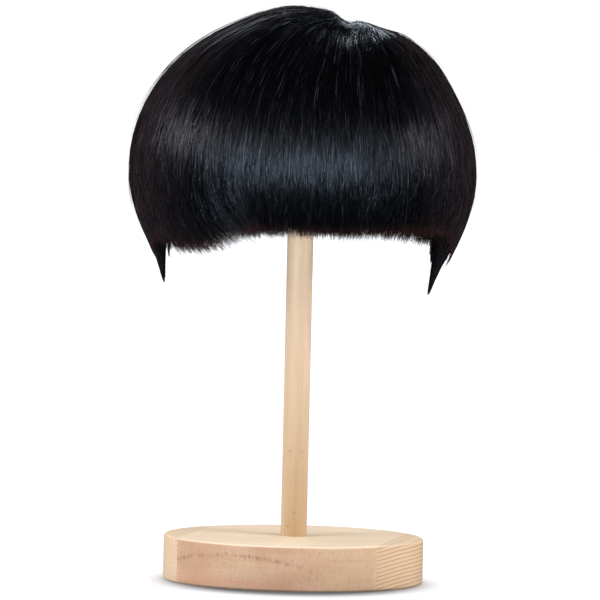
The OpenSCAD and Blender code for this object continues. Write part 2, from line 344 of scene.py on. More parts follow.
def pine(name, turn, pith, ring, light, dark, contrast):
    """Sawn pine with its grain level. pith is where the tree's heart lies, across the grain and in height."""
    n = Nodes(name, 0.5)
    n.set("Specular IOR Level", 0.35)
    place = n.turned(n.place(), turn)
    _, across, height = n.split(place)
    drift = n.grain(place, (6, 40, 40), 2)
    fine = n.grain(place, (60, 900, 900), 3, 0.6)
    rings = n.math("DIVIDE", n.reach(n.minus(across, pith[0]), n.minus(height, pith[1])), ring)
    rings = n.plus(rings, n.times(drift, 1.1))
    year = n.math("FRACT", rings)
    band = n.ramp(year, [(0.0, 0.0), (0.4, 0.06), (0.78, 1.0), (0.92, 0.5), (1.0, 0.0)])
    band = n.times(band, contrast)
    colour = n.mix(band, light, dark)
    tone = n.grain(place, (8, 60, 60), 4, 0.6)
    colour = n.stain(colour, tone, 0.35, 0.75, 0.3, dark)
    colour = n.stain(colour, fine, 0.45, 0.8, 0.25, dark)
    # Painted light in part: the top face is paler than the sides, partly the planed wood and partly light
    # from above.
    colour = n.stain(colour, height, 0.0252, 0.0256, 0.6, "#e6cfb4")
    rough = n.range(fine, 0.3, 0.7, 0.45, 0.62)
    relief = n.plus(n.times(band, -0.5), fine)
    return n.finish(colour, rough, relief, 0.25, 0.0003)


def board_pine(turn):
    """The wide board: a pale planed top, painted paler than the rim partly as light from above, and a sanded
    rim with a broken row of pores along one ring.
    """
    n = Nodes("board_pine", 0.5)
    n.set("Specular IOR Level", 0.35)
    place = n.turned(n.place(), turn)
    x, across, z = n.split(place)
    upright = n.times(n.range(z, 0.0252, 0.0256, 1, 0), n.range(z, 0.0003, 0.0007))
    rim = n.times(upright, n.range(n.size(across), 0.03, 0.05))
    top = n.grain(place, (14, 160, 30), 4, 0.6)
    # The top's pale cream is partly the planed wood and partly painted light from above, paler than the rim.
    colour = n.mix(n.range(top, 0.35, 0.7, 0, 0.5), "#ead6bd", "#dcc2a2")
    soft = n.grain(place, (26, 26, 60), 3)
    worn = n.mix(n.range(soft, 0.35, 0.65), "#ccac90", "#bd987c")
    worn = n.stain(worn, x, 0.012, 0.05, 0.5, "#c9ad8b")
    bed = n.grain(place, (30, 30, 900), 3, 0.6)
    worn = n.stain(worn, bed, 0.48, 0.7, 0.4, "#bb9176")
    sanded = n.grain(place, (1300, 1300, 260), 3, 0.6)
    worn = n.stain(worn, sanded, 0.5, 0.75, 0.45, "#b08a70")
    specks = n.grain(place, (700, 700, 420), 2, 0.7)
    worn = n.stain(worn, specks, 0.6, 0.7, 0.55, "#a27a60")
    bow = n.times(n.math("POWER", n.plus(x, 0.02), 2), -3.6)
    off = n.size(n.minus(n.minus(z, 0.0195), bow))
    dashes = n.grain(place, (1100, 1100, 300), 2, 0.6)
    row = n.times(n.range(off, 0.0003, 0.0018, 1, 0), n.range(dashes, 0.46, 0.62))
    row = n.times(row, n.range(x, 0.012, 0.034, 1, 0))
    worn = n.mix(n.times(row, 0.65), worn, "#8a6450")
    low = n.minus(z, n.plus(n.times(x, -0.05), 0.003))
    blush = n.times(n.range(n.size(low), 0.0, 0.0045, 1, 0), n.range(x, -0.01, 0.03, 1, 0.2))
    worn = n.mix(n.times(blush, n.range(bed, 0.35, 0.6, 0.1, 0.65)), worn, "#d1957c")
    colour = n.mix(rim, colour, worn)
    relief = n.plus(sanded, n.times(row, -1.5))
    return n.finish(colour, n.range(soft, 0.3, 0.7, 0.45, 0.62), relief, 0.25, 0.0003)


# Dark specks on the post's front: how far to the side and how high, in metres, and how large.
KNOTS = ((-0.0030, 0.0755, 1.0), (-0.0032, 0.0730, 0.6), (0.0034, 0.0753, 0.9), (0.0036, 0.0725, 0.6),
         (0.0002, 0.0400, 0.9), (-0.0038, 0.0320, 1.1))


def dowel_pine():
    """The post's pine: grain upright, fine streaks towards the foot and a few small specks, with painted
    shade and light: darker towards the foot, paler at the top and at both flanks.
    """
    n = Nodes("post_pine", 0.5)
    n.set("Specular IOR Level", 0.35)
    place = n.place()
    x, y, z = n.split(place)
    long_grain = n.grain(place, (260, 260, 7), 3, 0.6, 0.4)
    fine = n.grain(place, (1500, 1500, 60), 3, 0.6)
    # Painted shade and light: the post's colour darkens towards the foot and pales towards the top.
    colour = n.mix(n.range(z, 0.03, 0.2), "#b99c78", "#dcc6ac")
    # Painted light: the post turns paler and pinker towards both flanks, as side light makes a round post
    # look.
    edge = n.range(n.size(x), 0.003, 0.0075, 0, 0.5)
    colour = n.mix(edge, colour, "#dfc3ae")
    low = n.range(z, 0.03, 0.14, 1, 0.35)
    streak = n.times(n.range(long_grain, 0.42, 0.66, 0, 0.5), low)
    colour = n.mix(streak, colour, "#b3905f")
    colour = n.mix(n.times(n.range(fine, 0.5, 0.8, 0, 0.35), low), colour, "#9c7b50")
    front = n.math("LESS_THAN", y, 0.0)
    for knot_x, knot_z, size in KNOTS:
        reach = n.reach(n.times(n.minus(x, knot_x), 0.9), n.minus(z, knot_z))
        mark = n.range(reach, 0.0001 * size, 0.0008 * size, 0.6, 0)
        colour = n.mix(n.times(mark, front), colour, "#7b5d40")
    rough = n.range(fine, 0.3, 0.7, 0.42, 0.6)
    return n.finish(colour, rough, n.plus(long_grain, fine), 0.3, 0.0002)


def turned_pine():
    """The dome's pine: growth rings cut through, with fine turning marks round the axis."""
    n = Nodes("dome_pine", 0.5)
    place = n.place()
    x, y, z = n.split(place)
    drift = n.grain(place, (12, 30, 30), 3)
    ring = n.reach(n.minus(y, 0.02), n.minus(z, 0.2))
    year = n.math("FRACT", n.plus(n.math("DIVIDE", ring, 0.0042), n.times(drift, 2.5)))
    band = n.ramp(year, [(0, 0.0), (0.5, 0.1), (0.85, 0.8), (1.0, 0.0)])
    colour = n.mix(band, "#e4cba6", "#be9265")
    turning = n.wave(n.reach(x, y), 5200)
    rough = n.range(drift, 0.3, 0.7, 0.44, 0.58)
    return n.finish(colour, rough, turning, 0.08, 0.0001)


# ---- fabric, metal and plastic


def woven(name, light, dark, pitch, roughness=0.85, diagonal=False):
    """Close weave, its threads pitch apart in millimetres. The pieces' UVs are in millimetres."""
    n = Nodes(name, roughness)
    u, v, _ = n.split(n.millimetres())
    if diagonal:
        u, v = n.plus(u, v), n.minus(u, v)
    turns = 2 * math.pi / pitch
    weave = n.times(n.wave(u, turns), n.wave(v, turns))
    wear = n.noise(n.millimetres(), 0.12, 4)
    fuzz = n.noise(n.millimetres(), 6, 2)
    colour = n.mix(n.range(weave, -0.6, 0.9), dark, light)
    colour = n.stain(colour, wear, 0.4, 0.8, 0.45, dark)
    n.set("Sheen Weight", 0.15)
    relief = n.plus(weave, n.times(fuzz, 0.6))
    return n.finish(colour, n.range(wear, 0.3, 0.7, roughness - 0.1, roughness), relief, 0.6, 0.0002)


def thread(name, light, dark):
    """Twisted sewing thread, its twist running along the fibre."""
    n = Nodes(name, 0.6)
    along = n.attribute("along")
    tone = n.attribute("tone")
    twist = n.wave(along, 900)
    colour = n.mix(n.range(twist, -1, 1), dark, light)
    colour = n.mix(n.times(tone, 0.5), colour, dark)
    return n.finish(colour, n.range(twist, -1, 1, 0.5, 0.7), twist, 0.3, 0.0001)


def brass():
    """The base screw's metal, turned."""
    n = Nodes("screw_brass", 0.3)
    n.set("Metallic", 1)
    marks = n.grain(n.place(), (300, 300, 2500), 3)
    colour = n.mix(n.range(marks, 0.3, 0.7), "#b58f45", "#dcbc74")
    return n.finish(colour, n.range(marks, 0.3, 0.7, 0.25, 0.45), marks, 0.15, 0.0001)


def moulded(name, light, dark, roughness):
    """Moulded plastic, finely grained and a little worn."""
    n = Nodes(name, roughness)
    grain = n.noise(n.place(), 2500, 2)
    wear = n.noise(n.place(), 160, 3)
    colour = n.mix(n.range(grain, 0.3, 0.7), dark, light)
    colour = n.stain(colour, wear, 0.5, 0.75, 0.4, light)
    rough = n.range(wear, 0.3, 0.7, roughness - 0.06, roughness + 0.08)
    return n.finish(colour, rough, grain, 0.1, 0.0001)


# ---- hair materials

# The cool gleam of black synthetic fibre, and of the lamps on it.
BLUE = (0.78, 0.88, 1.0)


def hair_material(name, deep, tint, side_brown_and_light, tip):
    """Straight synthetic fibre: near-black with gleams along it, partly painted highlights in the colour;
    browner at the sides, partly painted side light; browner at its tip.
    """
    n = Nodes(name, 0.4)
    tone = n.attribute("tone")
    along = n.attribute("along")
    side = n.attribute("side")
    gleam = n.noise(n.join(n.times(tone, 900), n.times(along, 8)), 1, 2, 0.6)
    # Painted highlights: the gleams' dashes are a little paler in the colour as well as glossier.
    colour = n.mix(n.range(gleam, 0.48, 0.72), deep, tint)
    # Painted light in part: at the sides the gleams turn brown, partly the fibre's own brown and partly
    # painted light shining through the fibres.
    colour = n.mix(n.times(side, n.range(gleam, 0.32, 0.6)), colour, side_brown_and_light)
    # Painted highlights: a few fibres are pale grey along their gleams, standing in for glints of light on
    # single fibres.
    pale = n.times(n.range(tone, 0.9, 0.94), n.range(gleam, 0.45, 0.6, 0, 0.8))
    colour = n.mix(pale, colour, "#34363d")
    end = n.times(n.range(along, 0.94, 1.0), n.range(tone, 0.2, 0.9, 0.1, 0.9))
    colour = n.mix(end, colour, tip)
    n.set("Specular IOR Level", 0.5)
    n.set("Specular Tint", (*BLUE, 1))
    return n.finish(colour, n.range(gleam, 0.36, 0.66, 0.38, 0.18))


def mass_material(name, deep, tint, level, rough=(0.42, 0.58)):
    """The mass of hair under the loose fibres, combed the same way."""
    n = Nodes(name, 0.5)
    u, v, _ = n.split(n.millimetres())
    fibre = n.noise(n.join(n.times(u, 2.4), n.times(v, 0.03)), 1, 4, 0.7)
    locks = n.noise(n.join(n.times(u, 0.35), n.times(v, 0.012)), 1, 2)
    colour = n.mix(n.range(fibre, 0.3, 0.7), deep, tint)
    n.set("Specular IOR Level", level)
    n.set("Specular Tint", (*BLUE, 1))
    relief = n.plus(fibre, n.times(locks, 2))
    return n.finish(colour, n.range(fibre, 0.3, 0.7, *rough), relief, 0.7, 0.0008)


# ---- meshes


def new_object(name, data):
    """An object in the scene's own collection."""
    ob = bpy.data.objects.new(name, data)
    bpy.context.scene.collection.objects.link(ob)
    return ob


def new_mesh(name, points, loops, sizes, material):
    """A smooth mesh object from flat arrays, its points in millimetres."""
    mesh = bpy.data.meshes.new(name)
    mesh.vertices.add(len(points))
    mesh.vertices.foreach_set("co", (points * MM).astype(np.float32).ravel())
    mesh.loops.add(len(loops))
    mesh.loops.foreach_set("vertex_index", loops.astype(np.int32))
    mesh.polygons.add(len(sizes))
    starts = np.concatenate([[0], np.cumsum(sizes)[:-1]])
    mesh.polygons.foreach_set("loop_start", starts.astype(np.int32))
    mesh.polygons.foreach_set("use_smooth", np.ones(len(sizes), bool))
    mesh.update(calc_edges=True)
    mesh.materials.append(material)
    return new_object(name, mesh)


def belongs(ob, body, slot, node):
    """Rides on a body, takes its finish from a slot and stands for a CAD node."""
    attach(ob, body)
    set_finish(ob, slot)
    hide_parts(node)
    return ob


def unit(vectors):
    return vectors / (np.linalg.norm(vectors, axis=-1, keepdims=True) + 1e-9)


# The thickness of a tube from root to tip, at these shares of its length.
ALONG = (0, 0.1, 0.75, 1)
HAIR_TAPER = (0.6, 1, 0.9, 0.2)
EVEN = (1, 1, 1, 1)

# How much of a combed fibre's shading follows the whole hairdo's surface.
SURFACE_SHARE = 0.7


def tubes(name, paths, radius, material, tone, side=None, profile=HAIR_TAPER, sides=3, gleam=None):
    """Closed thin tubes along paths (tube, point, xyz). profile is the thickness from root to tip.

    gleam, for combed hair, holds how far each point's shading tilts across and along its fibre.
    """
    count, steps = paths.shape[:2]
    ahead = unit(np.gradient(paths, axis=1))
    outward = unit(paths - np.array([0, 0, WIDEST_Z]))
    across = unit(np.cross(ahead, outward))
    up = np.cross(across, ahead)
    along = np.linspace(0, 1, steps)
    taper = np.interp(along, ALONG, profile)
    thick = (radius[:, None] * taper[None, :])[..., None]
    points = np.empty((count, steps, sides, 3))
    normals = np.empty((count, steps, sides, 3))
    for k in range(sides):
        angle = math.radians(90 + 360 / sides * k)
        normals[:, :, k] = up * math.sin(angle) + across * math.cos(angle)
        points[:, :, k] = paths + normals[:, :, k] * thick
    base = (np.arange(count) * steps * sides)[:, None, None]
    low = base + (np.arange(steps - 1) * sides)[None, :, None]
    a = np.arange(sides)[None, None, :]
    b = ((np.arange(sides) + 1) % sides)[None, None, :]
    quads = np.stack([low + b, low + a, low + a + sides, low + b + sides], -1).reshape(-1, 4)
    ring = np.arange(sides)[None, :]
    first = base[:, :, 0] + ring
    last = base[:, :, 0] + (steps - 1) * sides + ring[:, ::-1]
    loops = np.concatenate([quads.ravel(), first.ravel(), last.ravel()])
    sizes = np.concatenate([np.full(len(quads), 4), np.full(2 * count, sides)])
    ob = new_mesh(name, points.reshape(-1, 3), loops, sizes, material)
    values = {
        "tone": np.repeat(tone, steps * sides),
        "side": np.repeat(np.zeros(count) if side is None else side, steps * sides),
        "along": np.tile(np.repeat(along, sides), count),
    }
    for key, value in values.items():
        layer = ob.data.attributes.new(key, "FLOAT", "POINT")
        layer.data.foreach_set("value", value.astype(np.float32))
    if gleam:
        surface = up + gleam[0][..., None] * across + gleam[1][..., None] * ahead
        normals = (1 - SURFACE_SHARE) * normals + SURFACE_SHARE * surface[:, :, None]
        ob.data.normals_split_custom_set_from_vertices(unit(normals).reshape(-1, 3).tolist())
    return ob


def skinned(name, outer, inner, places, material, whole=False, flip=False):
    """A closed sheet between two grids of points (round, down, xyz). places are its UVs, in millimetres.

    flip is for grids that run the other way round, so that their faces point outward too.
    """
    if flip:
        outer, inner, places = outer[::-1], inner[::-1], places[::-1]
    columns = outer.shape[0] - 1
    rows = outer.shape[1] - 1
    kept = columns if whole else columns + 1
    edge = rows + 1
    grid = (columns + 1) * edge
    points = np.concatenate([outer[:kept].reshape(-1, 3), inner[:kept].reshape(-1, 3)])
    at = np.arange(columns)[:, None] * edge + np.arange(rows)[None, :]
    skin = np.stack([at, at + 1, at + edge + 1, at + edge], -1).reshape(-1, 4)
    faces = [skin, skin[:, ::-1] + grid]
    for row, back in ((0, False), (rows, True)):
        p = np.arange(columns) * edge + row
        rim = np.stack([p, p + edge, p + edge + grid, p + grid], -1)
        faces.append(rim[:, ::-1] if back else rim)
    for column, back in () if whole else ((0, True), (columns, False)):
        p = column * edge + np.arange(rows)
        rim = np.stack([p, p + 1, p + 1 + grid, p + grid], -1)
        faces.append(rim[:, ::-1] if back else rim)
    corners = np.concatenate(faces).ravel()
    layer, spot = corners // grid, corners % grid
    loops = (spot // edge % kept) * edge + spot % edge + layer * kept * edge
    ob = new_mesh(name, points, loops, np.full(len(corners) // 4, 4), material)
    uv = ob.data.uv_layers.new(name="UVMap")
    uv.data.foreach_set("uv", places.reshape(-1, 2)[spot].astype(np.float32).ravel())
    return ob


def head_sheet(name, turns, top, bottom, low, high, material, spots, shape=None, whole=False):
    """A closed sheet over part of the head. top and bottom are functions of the turn, low and high of it
    and of how far down. shape moves the points."""
    columns, rows = spots
    turn = (turns[0] + (turns[1] - turns[0]) * np.linspace(0, 1, columns + 1))[:, None]
    start, end = top(turn), bottom(turn)
    turn, down = np.broadcast_arrays(turn, start + (end - start) * shares(rows + 1))
    outer = on_head(turn, down, high(turn, down))
    inner = on_head(turn, down, low(turn, down))
    if shape:
        outer, inner = shape(outer), shape(inner)
    reach = np.where(down < 90, down * 1.5, down + 45)
    places = np.stack([np.radians(turn) * HEAD_R, reach], -1)
    return skinned(name, outer, inner, places, material, whole)


def flat(value):
    """A height or depth that is the same everywhere."""
    return lambda *_: np.array(float(value))


# ---- hair

STEPS = 20
PER_PIECE = 1700

# The CAD's parts of the hair and their turns.
PARTS = (("fringe", (-55, 55)), ("left", (-118, -54)), ("right", (54, 118)), ("back", (117, 243)))

# Each piece of combed hair: its name, the part that it belongs to, and its turns.
SECTORS = (
    ("fringe_a", "fringe", (-55, -26)),
    ("fringe_b", "fringe", (-27, 1)),
    ("fringe_c", "fringe", (-1, 27)),
    ("fringe_d", "fringe", (26, 55)),
    ("side_left", "left", (-118, -54)),
    ("side_right", "right", (54, 118)),
    ("back_left", "back", (-180, -158)),
    ("back_outer_left", "back", (-159, -117)),
    ("back_outer_right", "back", (117, 159)),
    ("back_right", "back", (158, 180)),
)


def flow(turn, part, local):
    """How each fibre strays from straight down: slanting locks, crossing fibres and a sweep inwards."""
    each = turn.shape
    leftward = -from_front(turn)
    slant = 3.2 * lock_noise(turn, 21, 46) + 2.2 * lock_noise(turn, 22, 130) + local.normal(0, 1.5, each)
    crossing = local.uniform(0, 1, each) < 0.2
    slant = slant + np.where(crossing, local.normal(0, 11, each), 0)
    sweep = 10 * smooth(leftward, 12, 34) * (1 - smooth(leftward, 55, 78)) * local.uniform(0.5, 1.3, each)
    sway = local.normal(0, 0.9, each)
    along = slant * (part - 0.55) + sweep * clamp((part - 0.6) / 0.4) ** 1.8
    return along + sway * np.sin(math.pi * part)


def ripple(local, each, part, size, pace):
    """A different small wave along each fibre."""
    height = local.uniform(*size, each)
    return height * np.sin(local.uniform(*pace, each) * part + local.uniform(0, 6.3, each))


def combed(turns, seed):
    """Paths of combed fibres between two turns, from roots all over the crown down to the hem."""
    local = seeded(seed)
    each = (PER_PIECE, 1)
    turn = local.uniform(*turns, each)
    start = np.degrees(np.arccos(local.uniform(math.cos(math.radians(80)), 0.99985, each)))
    tip = cut(turn) + local.normal(0, 1.5, each) - local.gamma(0.9, 2.0, each)
    part = shares(STEPS)
    down = start + (tip - start) * part
    lie = local.uniform(0, 1, each) ** 1.4 * 2.3
    wave = ripple(local, each, part, (0.1, 0.42), (5, 16))
    ridge = lock_noise(turn, 7, 150) * 0.6 + lock_noise(turn, 8, 420) * 0.35
    depth = HAIR_DEPTH - 0.9 - lie - 3.5 * (1 - part) ** 6 * (start > 12)
    depth = depth + (ridge + wave) * np.clip(down / 35, 0.25, 1)
    depth = depth - 1.3 * smooth(down, 105, 140)
    swirl = 38 * (1 - smooth(down, 0, 28))
    course = turn + flow(turn, part, local) * smooth(down, 3, 30) + swirl
    away = np.abs(from_front(turn))
    # side sets how much of the painted side light, partly the fibre's own brown, the gleams take: most at the
    # sides, less at the back.
    side = clamp((away - 40) / 35) * (1 - 0.6 * clamp((away - 120) / 30))
    slope = lock_noise(turn + 0.6, 7, 150) - lock_noise(turn - 0.6, 7, 150)
    tilt = 0.3 * slope + local.normal(0, 0.1, each)
    gleam = (tilt + 0 * part, ripple(local, each, part, (0.03, 0.17), (12, 34)))
    return settle(on_head(course, down, depth)), local.uniform(0, 1, PER_PIECE), side, gleam


def lining(turn, down):
    """How far the outer hair's inside stands off the cap."""
    return np.interp(down, [30, 80], [4, 14])


def outer_hair(fibre, mass):
    """The combed surface, and the solid mass that it lies on, whose hem stays above the fibres' tips."""

    def high(t, d):
        return HAIR_DEPTH - 2.6 - 2.6 * smooth(d, 100, 132) + 0.5 * lock_noise(t, 7, 150)

    for part, turns in PARTS:
        node = f"hair_{part}"
        spots = (round((turns[1] - turns[0]) / 1.2), 36)
        ob = head_sheet(node + "_mass", turns, flat(0.1), lambda t: cut(t) - 5, lining, high, mass, spots,
                        settle)
        belongs(ob, "wig", "hair", node)
    for index, (name, part, turns) in enumerate(SECTORS):
        paths, tone, side, gleam = combed(turns, 100 + index)
        radius = seeded(index).uniform(0.11, 0.24, PER_PIECE)
        ob = tubes(f"hair_{name}", paths, radius, fibre, tone, side, gleam=gleam)
        belongs(ob, "wig", "hair", f"hair_{part}")


def under_hair(fibre, mass):
    """The layer under the surface, seen from below, with its own loose ends."""

    def low(t, d):
        return 3.2 + 0.4 * lock_noise(t, 11, 90) + 0 * d

    def high(t, d):
        return np.minimum(10.5, lining(t, d) - 1.5)

    for index, (name, turns) in enumerate(PARTS):
        node = f"under_{name}"
        spots = (round((turns[1] - turns[0]) / 1.5), 18)
        ob = head_sheet(node + "_mass", turns, flat(46), lambda t: hem(t) - 7, low, high, mass, spots, settle)
        belongs(ob, "wig", "under_hair", node)
        local = seeded(300 + index)
        count = round((turns[1] - turns[0]) * 14)
        each = (count, 1)
        turn = local.uniform(*turns, each)
        start = local.uniform(50, 108, each)
        tip = cut(turn) - local.gamma(1.6, 2.0, each)
        part = shares(10)
        down = start + (tip - start) * part
        depth = 3.0 + local.uniform(0, 1, each) * (9.0 * smooth(down, 96, 118) + 0.4)
        course = turn + local.normal(0, 3.0, each) * part
        paths = settle(on_head(course, down, depth))
        radius = local.uniform(0.12, 0.22, count)
        ends = tubes(node + "_ends", paths, radius, fibre, local.uniform(0, 1, count))
        belongs(ends, "wig", "under_hair", node)


# The sideburn's turns and root, and its width at these heights down to its tip.
BURN_START, BURN_END, BURN_ROOT = 77.5, 94.5, 117
BURN_DOWN = (117, 124, 129, 135, 142, 149, 157)
BURN_WIDTH = (1, 9.5, 12.8, 10.4, 6.4, 3.8, 1.6)


def sideburn(side, name, fibre, mass):
    """A pointed lock in front of the ear, rooted on the ear tab and hanging below the side hair."""
    node = f"sideburn_{name}"
    drop = 2.0 * side
    spread, out_by = (0.13, 1.2) if side < 0 else (0.03, -0.6)
    tip = 90 + SIDEBURN_DROP + drop

    def hang(points):
        """Hangs straight down from the tab instead of curving in with the head."""
        out = points.copy()
        out[..., 0] += spread * np.maximum(0, WIDEST_Z - 33 - points[..., 2]) + out_by
        return settle(out * np.array([side, 1, 1]))

    def edge(t):
        return tip - 20 * clamp((t - BURN_START) / (BURN_END - BURN_START)) ** 1.3

    def width(d):
        return np.interp(d - drop, BURN_DOWN, BURN_WIDTH)

    turns = (BURN_START, BURN_END) if side > 0 else (BURN_END, BURN_START)
    core = head_sheet(node + "_mass", turns, flat(BURN_ROOT), lambda t: edge(t) - 3, flat(1.5),
                      lambda t, d: 1.8 + 0.86 * width(d) + 0.3 * np.sin(3 * t), mass, (24, 24), hang)
    belongs(core, f"ear_tab_{name}", "hair", node)
    count = 1500
    each = (count, 1)
    local = seeded(31 + side)
    turn = BURN_START + (BURN_END - BURN_START) * local.uniform(0, 1, each) ** 1.2
    out = local.uniform(0, 1, each) ** 0.5
    part = shares(14)
    low = BURN_ROOT + local.uniform(0, 8, each)
    stop = edge(turn) - local.gamma(1.1, 1.2, each)
    down = low + (stop - low) * part
    course = turn + (BURN_START + 1.5 - turn) * 0.4 * part**2.2
    course = course + local.normal(0, 0.5, each) * part
    depth = 1.4 + out * width(down)
    radius = local.uniform(0.12, 0.22, count)
    # The sideburns take 0.7 of the painted side light, partly the fibre's own brown.
    ends = tubes(node + "_fibres", hang(on_head(course, down, depth)), radius, fibre,
                 local.uniform(0, 1, count), np.full(count, 0.7))
    belongs(ends, f"ear_tab_{name}", "hair", node)


def strays(fibre):
    """Loose fibres that stand off the surface, short wisps at the whorl, and fine ends below the hem."""
    local = seeded(77)
    part = shares(STEPS)
    loose, wisps, fine = (260, 1), (60, 1), (900, 1)
    join = np.concatenate
    turn = join([local.uniform(-180, 180, kind) for kind in (loose, wisps, fine)])
    start = join([local.uniform(8, 88, loose), local.uniform(0.5, 5, wisps), cut(turn[-fine[0]:]) - 16])
    reach = join([local.uniform(18, 60, loose), local.uniform(2, 7, wisps), local.uniform(16, 20.5, fine)])
    raised = np.minimum(3, local.gamma(1.5, 0.7, loose))
    lift = join([raised, local.uniform(1, 4, wisps), np.zeros(fine)])
    inside = join([np.full(loose, 0.5), np.full(wisps, 2.5), local.uniform(1.5, 8, fine)])
    veer = join([local.normal(0, 6, loose), local.normal(0, 30, wisps), local.normal(0, 2.5, fine)])
    paths = settle(on_head(turn + veer * part, start + reach * part, HAIR_DEPTH - inside + lift * part**2))
    # side: the same painted side light, partly the fibre's own brown, strongest at the sides.
    side = clamp((np.abs(turn) - 40) / 35)
    radius = local.uniform(0.06, 0.12, len(turn))
    ob = tubes("hair_strays", paths, radius, fibre, local.uniform(0, 1, len(turn)), side)
    belongs(ob, "wig", "hair", "hair_whorl")


# ---- cap


def net_edge(turn):
    """The net's edge round the head, as the CAD has it."""
    away = np.abs(from_front(turn))
    front = 74 + 32 * clamp((away - 45) / 18)
    back = 106 + 6 * clamp((away - BACK_START) / 9)
    return np.where(away <= 63, front, back)


# The crown disc's edge, in degrees from the top, and where the net begins on it.
DISC_EDGE = 14
NET_START = 14.4


def crown_net(material, tape):
    """Two families of slanting threads over the cap, and four elastic ribs that shape it."""
    families = []
    part = shares(40)
    for lean in (-1, 1):
        turn = np.arange(0, 360, 3.0)
        course = turn[:, None] + lean * 62 * part**0.8
        down = NET_START + (net_edge(course) + 0.2 - NET_START) * part
        families.append(on_head(course, down, 0.4 + 0.14 * lean * np.cos(40 * part)))
    paths = np.concatenate(families)
    count = len(paths)
    tone = seeded(5).uniform(0, 1, count)
    ob = tubes("crown_net_threads", paths, np.full(count, 0.2), material, tone, profile=EVEN, sides=4)
    belongs(ob, "wig", "net", "crown_net")
    for index, turn in enumerate((-90, 0, 90, 180)):
        rib = head_sheet(f"crown_net_rib_{index + 1}", (turn - 3, turn + 3), flat(NET_START), net_edge,
                         flat(-0.1), lambda t, d: 0.8 + 0.08 * np.sin(d * 4), tape, (6, 90))
        belongs(rib, "wig", "net", "crown_net")


def stitches(node, body, slot, turns, place, depth, step, length, material, slant=0.0):
    """A row of short raised stitches. place is the row's height as a function of the turn."""
    name = node + ("_heads" if slot == "weft" else "_stitches")
    count = int((turns[1] - turns[0]) / step)
    turn = turns[0] + step * (np.arange(count) + 0.5)
    part = np.linspace(-0.5, 0.5, 6)[None, :]
    course = turn[:, None] + length * part
    lean = np.where(np.arange(count) % 2, slant, -slant)
    down = place(course) + lean[:, None] * part
    height = depth + 0.28 * np.cos(math.pi * part)
    paths = on_head(course, down, height)
    tone = seeded(len(name)).uniform(0, 1, count)
    ob = tubes(name, paths, np.full(count, 0.16), material, tone, profile=EVEN, sides=4)
    belongs(ob, body, slot, node)


def band(name, turns, top, bottom, material, slot, spots, ribs=0.0):
    """A sewn band of the cap with a rolled lower edge. ribs is the height of the ribs that elastic has."""

    def high(t, d):
        share = clamp((d - top(t)) / (bottom(t) - top(t)))
        hump = 0.35 * bump(share, 0.93, 0.08)
        crown = 0.62 + 0.38 * np.sqrt(np.sin(math.pi * np.clip(share, 0.02, 0.98)))
        return CAP_T * crown + hump + ribs * np.sin(np.radians(t) * HEAD_R * 2 * math.pi / 1.3)

    ob = head_sheet(name + "_cloth", turns, top, bottom, flat(0), high, material, spots)
    belongs(ob, "wig", slot, name)


def crown_disc(material, sewing):
    """The skin-coloured patch that the whorl's hair is knotted into."""

    def high(t, d):
        return CAP_T * (0.7 + 0.3 * np.sqrt(clamp((DISC_EDGE - d) / 3)))

    ob = head_sheet("crown_disc_patch", (0, 360), flat(0.1), flat(DISC_EDGE), flat(0), high, material,
                    (96, 14), whole=True)
    belongs(ob, "wig", "crown_disc", "crown_disc")
    stitches("crown_disc", "wig", "crown_disc", (0, 360), flat(13), 0.7, 5, 3.4, sewing)


# The ear tab's turns.
TAB_START, TAB_END = 76, 99


def tab_hem(turn):
    """The ear tab's lower edge, deepest in its middle."""
    part = clamp((np.abs(turn) - TAB_START) / (TAB_END - TAB_START))
    return 126 + 15 * np.sin(math.pi * part)


def ear_tab(side, name, cloth, sewing):
    """The soft tab over the ear's front, its edge turned and sewn."""
    node = f"ear_tab_{name}"
    turns = (TAB_START + 0.2, TAB_END - 0.2) if side > 0 else (-TAB_END + 0.2, -TAB_START - 0.2)

    def high(t, d):
        to_edge = np.minimum(tab_hem(t) - d, 0.9 * (np.abs(t) - TAB_START))
        to_edge = np.minimum(to_edge, 0.9 * (TAB_END - np.abs(t)))
        return CAP_T * (0.6 + 0.3 * smooth(to_edge, 0, 1)) + 0.25 * bump(to_edge, 1.2, 0.6)

    ob = head_sheet(node + "_cloth", turns, flat(114.6), tab_hem, flat(0.05), high, cloth, (40, 30))
    belongs(ob, node, "ear_tab", node)
    stitches(node, node, "ear_tab", turns, lambda t: tab_hem(t) - 2.6, 0.72, 1.9, 1.2, sewing)


def cap(materials):
    """Everything that is sewn together under the hair."""
    sewing, pale = materials["sewing"], materials["pale_sewing"]
    crown_net(materials["net"], materials["tape"])
    crown_disc(materials["disc"], pale)
    band("front_band", (-45, 45), flat(74.8), flat(80.8), materials["lace"], "front_band", (120, 12))
    stitches("front_band", "wig", "front_band", (-44, 44), flat(75.8), 0.75, 1.8, 1.2, pale, 1.0)
    for side, name in SIDES:
        turns = (-126, -45) if side < 0 else (45, 126)
        node = f"side_binding_{name}"
        band(node, turns, lambda t: net_edge(t) + 0.8, lambda t: net_edge(t) + 6.8, materials["binding"],
             "binding", (130, 12))
        stitches(node, "wig", "binding", turns, lambda t: net_edge(t) + 2.2, 0.75, 1.7, 1.1, sewing, 1.0)
        ear_tab(side, name, materials["binding"], sewing)
    band("nape_band", (126, 234), flat(112.8), flat(121.8), materials["elastic"], "elastic", (420, 10), 0.1)
    stitches("nape_band", "wig", "elastic", (127, 233), flat(114.4), 0.85, 2.0, 1.3, sewing, 1.2)


# Each row of weft: how far down it runs, and how far round from the back on each side.
WEFT_ROWS = ((22, 180), (38, 180), (54, 180), (68, 180), (86, 117), (102, 63))
WEFT_WIDTH = 2.2


